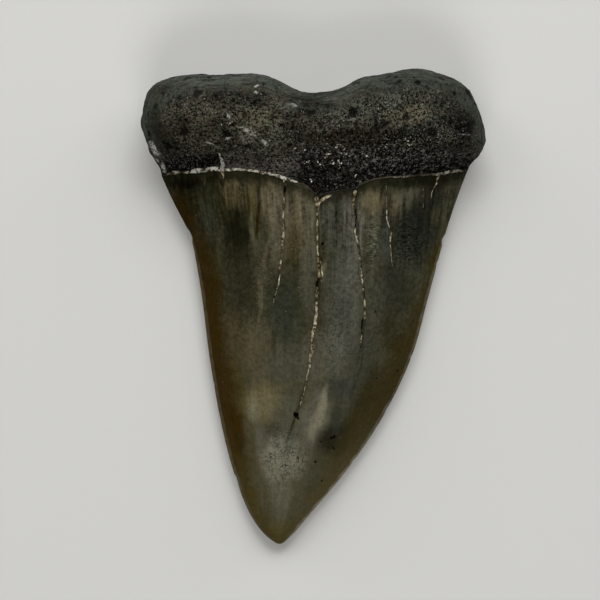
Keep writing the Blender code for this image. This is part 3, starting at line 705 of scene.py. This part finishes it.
def sediment_effect():
    """Sediment packed in cracks and hollows, grain by grain: from brown to as pale as asked."""
    inputs = {"Where": "Vector", "Pale": "Float", "Palest": "Color"}
    tree, wire, given, out = shared_effect("sediment", inputs, {"Color": "Color"})
    grain = wire.cell_chance(0.28)
    patch = wire.ramp(wire.noise(0.9, 3), 0.35, 0.65, -0.45, 0.4)
    tone = wire.math("ADD", grain, patch, clamp=True)
    palest = wire.mix(given["Pale"], (0.26, 0.215, 0.125), given["Palest"])
    wire.set(out["Color"], wire.mix(tone, (0.04, 0.029, 0.011), palest))
    return tree


stain = stain_effect()
specks = speckle_effect()
sediment = sediment_effect()


def blot(wire, x, y, wide, tall, turn=0, at=None, wobble=None):
    """A soft blot that goes all the way through the tooth, as a mask."""
    depth, angle = 500, math.radians(turn)
    edge = {"Where": at or wire.flat, "Wobble": wobble or wire.wobble}
    size = (2 * wide, 2 * tall, depth)
    return wire.group(stain, Place=(x, y, 0), Size=size, Turn=(0, 0, angle), **edge)


def blotted(wire, colour, stains, at=None):
    """Lays a list of stains over a colour."""
    for x, y, wide, tall, tint, strength, *turn in stains:
        mask = wire.times(blot(wire, x, y, wide, tall, *turn, at=at), strength)
        colour = wire.mix(mask, colour, tint)
    return colour


def packed_sediment(wire):
    """Sediment that is pale in patches, and along the middle crack's widest stretch."""
    patches = wire.ramp(wire.noise(0.9), 0.45, 0.62, 0.1, 0.9)
    widest = wire.group(stain, Place=(0, 28.6, 0), Size=(2.4, 6.4, 500))
    return wire.group(sediment, Pale=wire.most(patches, widest), Palest=GRIT)


def new_finish(name, **plain):
    """A material with its plain values set. Returns it with its wiring and its shader."""
    finish = bpy.data.materials.new(name)
    finish.use_nodes = True
    wire = Wiring(finish.node_tree)
    shader = finish.node_tree.nodes["Principled BSDF"]
    wire.feed(shader, plain)
    return finish, wire, shader


def chart(wire):
    """Sets where patterns are read: the places used above, from the object's own coordinates."""
    own = wire.add("TexCoord", result="Object")
    wire.where = wire.moved(own, place=-OFFSET, size=(1 / MM, 1 / MM, 1 / MM))


def flatten(wire):
    """Sets where blots are read: places with no height, warped a little so that none is regular."""
    warp = wire.vector("SUBTRACT", wire.noise(4.5, result="Color"), (0.5, 0.5, 0.5))
    wire.flat = wire.vector("MULTIPLY_ADD", warp, (1.4, 1.4, 0), wire.moved(wire.where, size=(1, 1, 0)))


def enamel_colour(wire, grown, fine):
    """The enamel's stains, streaks and amber cutting edges, a painted highlight along those edges, and
    painted shade below the root.
    """
    height = wire.split("Y")
    comb = wire.plus(wire.noise(0.8, at=wire.moved(grown, size=(1, 0.1, 1))), -0.5)
    comb = wire.times(comb, wire.ramp(height, 20, 38, 1.5, 4.5))
    combed = wire.vector("ADD", wire.flat, wire.add("CombineXYZ", {"Y": comb}))
    inner, neck, edge, across = wire.fields("inner", "neck", "edge", "across")

    clouds = wire.ramp(wire.noise(6, 4, 0.6), 0.3, 0.7)
    colour = wire.mix(clouds, (0.026, 0.024, 0.009), (0.053, 0.05, 0.029))
    # Lighter and more golden towards the tip: partly the tip's own tone and partly painted light on the
    # lower crown.
    colour = wire.mix(wire.ramp(height, 27, 14, 0, 0.8), colour, (0.082, 0.072, 0.04))
    outer = blotted(wire, colour, LABIAL_STAINS, combed)
    colour = wire.mix(inner, outer, blotted(wire, colour, ENAMEL_STAINS_SHADE_AND_SHEEN, combed))

    broad = wire.noise(1, at=wire.moved(grown, size=(1, 0.06, 1)))
    streaks = wire.ramp(broad, 0.3, 0.7, -0.4, 0.4)
    streaks = wire.plus(streaks, wire.ramp(fine, 0.3, 0.7, -0.35, 0.35))
    streaks = wire.times(streaks, wire.ramp(neck, -15, -3, 0.15, 0.85))
    grain = wire.ramp(wire.noise(0.55, 4, 0.8), 0.3, 0.7, -0.4, 0.4)
    grain = wire.times(grain, wire.ramp(height, 12, 34, 0.45, 1))
    colour = wire.scaled(colour, wire.plus(streaks, 1, grain))

    wander = wire.fit(wire.noise(3, 5, 0.6), 3.4, -1.7)
    side = wire.ramp(across, 0.45, 0.55)
    band = wire.ramp(height, 44, 28, 2.1, 3.3)
    band = wire.mix(side, band, wire.ramp(height, 36, 20, 1.5, 3.6))
    band = wire.times(band, wire.ramp(height, 0, 14, 0.35, 1))
    amber = wire.ramp(wire.math("DIVIDE", wire.plus(edge, wander), band), 1.3, 0.3, 0, 0.96)
    amber = wire.times(amber, wire.ramp(wire.fit(side, 5, height), 48, 43.5))
    low = wire.ramp(height, 20, 6)
    left = wire.mix(wire.ramp(height, 28, 42), (0.03, 0.016, 0), (0.02, 0.0115, 0))
    left = wire.mix(wire.ramp(height, 16, 3), left, (0.06, 0.045, 0.006))
    right = wire.mix(low, (0.036, 0.028, 0.007), (0.07, 0.058, 0.022))
    ruddy = wire.mix(low, (0.038, 0.02, 0.001), (0.078, 0.054, 0.014))
    share = wire.ramp(wire.noise(2, 4, 0.6), 0.42, 0.62, 0, 0.4)
    tone = wire.mix(share, wire.mix(side, left, right), ruddy)
    colour = wire.mix(amber, colour, wire.scaled(tone, wire.fit(grain, 0.7, 1)))

    # A pale, patchy line along the cutting edges, paler on the right and towards the tip: a painted
    # highlight where the edges catch the light. Its patchiness, in worn, is part of that painted highlight.
    left = wire.mix(low, (0.085, 0.065, 0.032), (0.105, 0.085, 0.045))
    rim = wire.mix(side, left, wire.mix(low, (0.11, 0.1, 0.07), (0.22, 0.2, 0.145)))
    worn = wire.ramp(wire.noise(0.9, 3), 0.3, 0.6, 0.4, 1)
    thin = wire.math("DIVIDE", edge, wire.ramp(height, 44, 34, 0.4, 1))
    colour = wire.mix(wire.times(wire.ramp(thin, 0.58, 0.36, 0, 0.9), worn), colour, rim)
    # Painted shade under the root's overhang: a smoky band, ragged along its lower edge, just below the
    # enamel's end.
    shade = wire.plus(neck, wire.ramp(fine, 0.2, 0.8, -0.7, 0.7))
    return wire.mix(wire.times(wire.ramp(shade, -2, -0.6), 0.75), colour, SMOKE)


def enamel_details(wire, colour):
    """Specks, ripples, and the worn patch with its hairlines. Also returns hairlines and patch."""
    dot = wire.ramp(wire.cells(0.9), 0.1, 0.06)
    kind = wire.cell_chance(0.9)
    colour = wire.mix(wire.times(dot, wire.ramp(kind, 0.3, 0.25), 0.7), colour, INK)
    colour = wire.mix(wire.times(dot, wire.ramp(kind, 0.7, 0.75), 0.5), colour, CREAM)
    ripple = wire.noise(0.32, 1, at=wire.moved(wire.where, size=(0.45, 1.6, 1)))
    ripple = wire.ramp(ripple, 0.35, 0.65, 0.45, 1.75)
    for rippled in ((7.5, 39.6, 0.9, 3.2), (12.2, 39.6, 2.2, 3.4)):
        colour = wire.mix(blot(wire, *rippled), colour, wire.scaled(colour, ripple))
    worn = blot(wire, -3.8, 11.6, 3.1, 4)
    sooty = wire.most(blot(wire, 2.8, 27.5, 2.2, 4.5), wire.times(worn, 0.3))
    soot = wire.ramp(wire.noise(0.26, 1), 0.56, 0.64, 0, 0.55)
    colour = wire.mix(wire.times(soot, sooty), colour, SMOKE)
    flecks = wire.group(specks, Size=0.19, Share=0.28)
    dusty = wire.times(blot(wire, 5.6, 11.6, 5, 1.1, 52), 0.5)
    dusty = wire.most(blot(wire, -6.7, 34, 1.1, 6, -5), dusty)
    colour = wire.mix(wire.times(flecks, dusty, 0.6), colour, (0.17, 0.15, 0.1))
    bent = wire.vector("ADD", wire.where, wire.noise(0.8, 1, result="Color"))
    hairlines = wire.ramp(wire.cells(0.46, at=bent, feature="DISTANCE_TO_EDGE"), 0.1, 0)
    hairlines = wire.times(hairlines, wire.ramp(wire.noise(1), 0.37, 0.48), worn)
    return wire.mix(wire.times(hairlines, 0.85), colour, INK), hairlines, worn


def enamel_finish():
    """Smooth, smoky enamel. Its streaks partly follow the taper of the crown."""
    finish, wire, shader = new_finish("fossil_enamel", Specular_IOR_Level=0.04)
    chart(wire)
    flatten(wire)
    wire.wobble = wire.fit(wire.noise(1.5, 4, 0.6), 0.9, -0.45)
    neck, crack, fill, across = wire.fields("neck", "crack", "fill", "across")
    taper = 0.4
    grown_x = wire.fit(across, taper * CROWN_WIDTH, wire.times(wire.split("X"), 1 - taper))
    grown = wire.add("CombineXYZ", {"X": grown_x, "Y": wire.split("Y")})
    fine = wire.noise(0.32, at=wire.moved(grown, size=(1, 0.08, 1)))
    colour = enamel_colour(wire, grown, fine)
    colour, hairlines, worn = enamel_details(wire, colour)

    ragged = wire.fit(wire.noise(0.3, 3), 0.14, wire.plus(crack, -0.07))
    # A dark, ragged line along each crack's edge: painted shade on the crack's walls.
    colour = wire.mix(wire.ramp(ragged, 0.11, 0.03, 0, 0.45), colour, INK)
    full = wire.ramp(wire.plus(wire.noise(0.3), fill), 1.2, 1.32)
    filling = wire.mix(full, INK, packed_sediment(wire))
    colour = wire.mix(wire.ramp(ragged, 0.05, -0.01), colour, filling)
    colour = end_line(wire, colour, neck)

    dull = wire.most(wire.ramp(ragged, 0.1, 0), worn)
    smooth = wire.ramp(wire.noise(2, 4), 0.3, 0.7, 0.26, 0.38)
    height = wire.fit(fine, 0.35, wire.times(wire.noise(0.28), 0.6))
    height = wire.fit(hairlines, -0.8, height)
    bump = wire.add("Bump", {"Height": height, "Strength": 0.35, "Distance": 0.03 * MM})
    wire.feed(shader, {"Base_Color": colour, "Roughness": wire.fit(dull, 0.3, smooth), "Normal": bump})
    return finish


def end_line(wire, colour, neck):
    """The uneven line of sediment along the enamel's end, over a dark seam."""
    pale, width = wire.fields("line_paleness", "line_width")
    middle = wire.fit(wire.noise(0.7, 3), 0.36, wire.plus(neck, -0.18))
    off = wire.math("SUBTRACT", wire.math("ABSOLUTE", middle), width)
    off = wire.fit(wire.noise(0.4, 3, 0.7), 0.44, wire.plus(off, -0.22))
    colour = wire.mix(wire.ramp(off, 0.3, 0.05, 0, 0.6), colour, INK)
    gaps = wire.ramp(wire.fit(pale, 0.3, wire.noise(0.8)), 0.48, 0.6, 0.25, 1)
    gaps = wire.times(gaps, wire.ramp(pale, 0, 0.6, 0.05, 1))
    dirt = wire.group(sediment, Pale=wire.times(pale, 0.95), Palest=CHALK)
    dirt = wire.mix(wire.ramp(pale, 0.1, 0.6), (0.088, 0.08, 0.064), dirt)
    return wire.mix(wire.times(wire.ramp(off, 0.08, 0), gaps), colour, dirt)


def bone_colour(wire, x, inner, rim, clouds):
    """The root's broad colours, with a lighter green band along its top and sides that is partly the bone's
    tone and partly painted light. Also returns that band.
    """
    colour = wire.mix(clouds, DARK_BONE, (0.034, 0.032, 0.024))
    ends = wire.ramp(wire.math("ABSOLUTE", x), 15, 20, 0, 1.1)
    patchy = wire.fit(wire.noise(1.1, 4, 0.7), 2.4, wire.plus(ends, rim))
    band = wire.ramp(wire.fit(clouds, 0.8, patchy), 4.8, 2.4)
    # The lighter green-grey band along the rim: partly the bone's tone and partly painted light where the
    # top edge turns to the light.
    colour = wire.mix(wire.times(band, 0.9), colour, GREEN_BONE)
    outer = wire.mix(wire.ramp(wire.noise(3), 0.35, 0.65), colour, BROWN_BONE)
    colour = wire.mix(inner, outer, blotted(wire, colour, ROOT_STAINS))
    tint = wire.ramp(wire.noise(1.4, 3), 0.4, 0.6)
    tint = wire.mix(tint, (1.04, 0.98, 0.96), (0.96, 1.02, 0.97))
    return wire.mix(1, colour, tint, "MULTIPLY"), band


def root_finish():
    """Rough, porous bone with specks, painted shade in its pits, a black seam by the enamel that is partly
    dark bone and partly painted shade under the root's bulge, and marks of chalky sediment.
    """
    finish, wire, shader = new_finish("fossil_root_bone", Specular_IOR_Level=0.015)
    chart(wire)
    flatten(wire)
    wire.wobble = wire.fit(wire.noise(1.2, 4, 0.65), 1.3, -0.65)
    neck, bone, hollow, inner, rim = wire.fields("neck", "bone", "hollow", "inner", "rim")
    girth, crack = wire.fields("girth", "crack")
    x = wire.split("X")
    around = {"X": wire.times(girth, 0.14), "Y": rim, "Z": wire.split("Z")}
    fibres = wire.noise(0.36, 3, 0.65, at=wire.add("CombineXYZ", around))
    grain = wire.noise(0.36, 3, 0.75)
    fine = wire.noise(0.17, 1.5, 0.6)
    clouds = wire.ramp(wire.noise(4, 4, 0.6), 0.3, 0.7)
    colour, band = bone_colour(wire, x, inner, rim, clouds)

    # The seam between the ledge and the enamel's end, mottled black and grey: partly the bone's dark colour
    # and partly painted shade under the root's bulge.
    brown = wire.ramp(wire.math("ABSOLUTE", wire.plus(x, 7)), 5.8, 4.6, 0, 0.6)
    mottled = wire.most(wire.ramp(wire.noise(0.5, 4, 0.8), 0.45, 0.63), brown)
    mottled = wire.times(mottled, wire.fit(blot(wire, 1.2, 48.6, 4.2, 2.6), -0.7, 1))
    seam = wire.mix(brown, (0.062, 0.06, 0.053), (0.112, 0.103, 0.085))
    seam = wire.mix(mottled, BLACK_BONE, seam)
    colour = wire.mix(wire.times(wire.math("SUBTRACT", 1, bone), inner, 0.92), colour, seam)

    gritty = blot(wire, 13.5, 51.3, 7, 2.6, 4)
    contrast = wire.times(wire.ramp(x, -7.5, -3.5, 0.85, 1), wire.ramp(rim, 1.6, 4.4, 0.3, 1.2))
    contrast = wire.plus(gritty, contrast)
    pepper = wire.ramp(grain, 0.38, 0.62, -1, 1.25)
    pepper = wire.plus(pepper, wire.ramp(fine, 0.3, 0.7, -0.8, 0.8))
    fibrous = wire.ramp(fibres, 0.35, 0.65, -0.5, 0.5)
    fibrous = wire.times(fibrous, wire.ramp(band, 0, 1, 0.25, 1))
    shade = wire.fit(pepper, contrast, wire.plus(fibrous, 1.12))
    colour = wire.scaled(colour, wire.most(shade, 0.02))
    salted = wire.ramp(wire.noise(2.2, 3), 0.42, 0.6, 0.05, 0.8)
    salted = wire.times(salted, contrast, wire.ramp(band, 0.2, 1, 0.9, 0.2))
    salted = wire.most(salted, wire.ramp(neck, 4.2, 2.2, 0, 0.7), gritty)
    share = wire.ramp(neck, 4.5, 2.5, 0.26, wire.ramp(x, -6, -3, 0.25, 0.21))
    bright = wire.group(specks, Size=0.22, Share=share)
    colour = wire.mix(wire.times(bright, salted), colour, (0.27, 0.265, 0.23))

    # Darker the deeper the pits and hollows are: painted shade in them.
    colour = wire.mix(wire.ramp(hollow, 0.03, 0.16, 0, 0.8), colour, BLACK_BONE)
    # A black band along the enamel's end, wider on the left: partly dark bone and partly painted shade
    # under the root's bulge.
    reach = wire.plus(neck, wire.ramp(wire.noise(1.3, 3), 0.2, 0.8, -0.3, 0.3))
    reach = wire.math("SUBTRACT", reach, wire.ramp(x, -5, -8, 1.2, 1.6))
    black = wire.times(wire.ramp(reach, 0.4, -0.2, 0, 0.85), inner)
    black = wire.times(black, wire.ramp(mottled, 0, 1, 1, 0.2), wire.ramp(bright, 0, 1, 1, 0.15))
    colour = wire.mix(black, colour, BLACK_BONE)
    chalk = wire.times(wire.ramp(crack, 0.06, -0.03), inner)
    crumbled = wire.fit(wire.noise(0.6, 4, 0.8), 2.8, -1.4)
    for *place, strength in CHALK_MARKS:
        chalk = wire.most(chalk, wire.times(blot(wire, *place, wobble=crumbled), strength))
    colour = wire.mix(wire.times(chalk, wire.ramp(grain, 0.42, 0.54, 0.1, 1)), colour, CHALK)
    colour = end_line(wire, colour, neck)

    height = wire.fit(fine, 0.5, wire.plus(grain, wire.times(fibres, wire.times(band, 0.7))))
    bump = wire.add("Bump", {"Height": height, "Strength": 0.8, "Distance": 0.14 * MM})
    matt = wire.ramp(grain, 0.3, 0.7, 0.95, 0.75)
    wire.feed(shader, {"Base_Color": colour, "Roughness": matt, "Normal": bump})
    return finish


def sand_finish():
    """Grains from brown to nearly white."""
    finish, wire, shader = new_finish("stuck_sand", Roughness=0.5, Specular_IOR_Level=0.4)
    chart(wire)
    tone = wire.ramp(wire.noise(0.5, 1), 0.35, 0.6)
    wire.feed(shader, {"Base_Color": wire.mix(tone, (0.34, 0.28, 0.19), (0.7, 0.68, 0.61))})
    return finish


def sediment_finish():
    """The crumbs in the cracks, coloured as the sediment beneath them is."""
    finish, wire, shader = new_finish("crack_sediment", Roughness=0.9, Specular_IOR_Level=0.2)
    chart(wire)
    wire.feed(shader, {"Base_Color": packed_sediment(wire)})
    return finish


# --- floor, lights and camera

def make_floor():
    """A plain, pale floor."""
    bm = bmesh.new()
    bmesh.ops.create_grid(bm, x_segments=1, y_segments=1, size=3)
    finish, wire, shader = new_finish("pale_floor", Roughness=0.9, Specular_IOR_Level=0.1)
    tone = wire.noise(0.4, at=wire.add("TexCoord", result="Object"))
    wire.feed(shader, {"Base_Color": wire.mix(tone, (0.62, 0.62, 0.61), (0.66, 0.66, 0.65))})
    finished_mesh("floor", bm, finish)


def add_softbox(name, place, size, power, colour):
    """A soft rectangular light at a place in metres, aimed at the tooth."""
    lamp = bpy.data.lights.new(name, "AREA")
    lamp.shape = "RECTANGLE"
    lamp.size, lamp.size_y = size
    lamp.energy = power
    lamp.color = colour
    softbox = linked(name, lamp)
    softbox.location = place
    softbox.rotation_mode = "QUATERNION"
    softbox.rotation_quaternion = (-Vector(place)).to_track_quat("-Z", "Y")
    softbox.visible_camera = False


def light_studio():
    """Four softboxes around the tooth, and a dim, even surrounding."""
    add_softbox("key_above_root", (0.05, 0.62, 0.5), (0.6, 0.35), 5.2, (1, 1, 0.98))
    add_softbox("fill_left", (-0.46, 0.39, 0.32), (0.3, 0.5), 1.3, (1, 0.98, 0.95))
    add_softbox("fill_right", (0.46, 0.39, 0.32), (0.3, 0.5), 1.1, (1, 0.98, 0.95))
    add_softbox("fill_below_tip", (0, -0.55, 0.45), (0.5, 0.3), 2.1, (1, 0.99, 0.96))
    world = bpy.data.worlds.new("studio")
    world.use_nodes = True
    world.node_tree.nodes["Background"].inputs["Color"].default_value = (0.07, 0.07, 0.07, 1)
    bpy.context.scene.world = world
    bpy.context.scene.view_settings.view_transform = "Standard"


def make_camera():
    """Straight above the tooth, with its tip towards the bottom of the picture."""
    lens = bpy.data.cameras.new("camera")
    lens.lens, lens.sensor_width, lens.clip_start = 250, 36, 0.01
    view_width, middle = 78.4998, Vector((-1.84, 32.05, 2.5)) + OFFSET
    camera = linked("camera", lens)
    camera.location = (middle + Vector((0, 0, view_width * lens.lens / lens.sensor_width))) * MM
    bpy.context.scene.camera = camera


tooth = make_tooth()
surface = BVHTree.FromPolygons(
    [v.co / MM for v in tooth.data.vertices], [list(face.vertices) for face in tooth.data.polygons]
)
sand = grains_piece("stuck_sand", surface, sand_on_root(), sand_finish())
packed = grains_piece("crack_sediment", surface, sediment_in_cracks(), sediment_finish())
for piece in (tooth, sand, packed):
    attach(piece, "root")
    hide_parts("tooth")
make_floor()
light_studio()
make_camera()
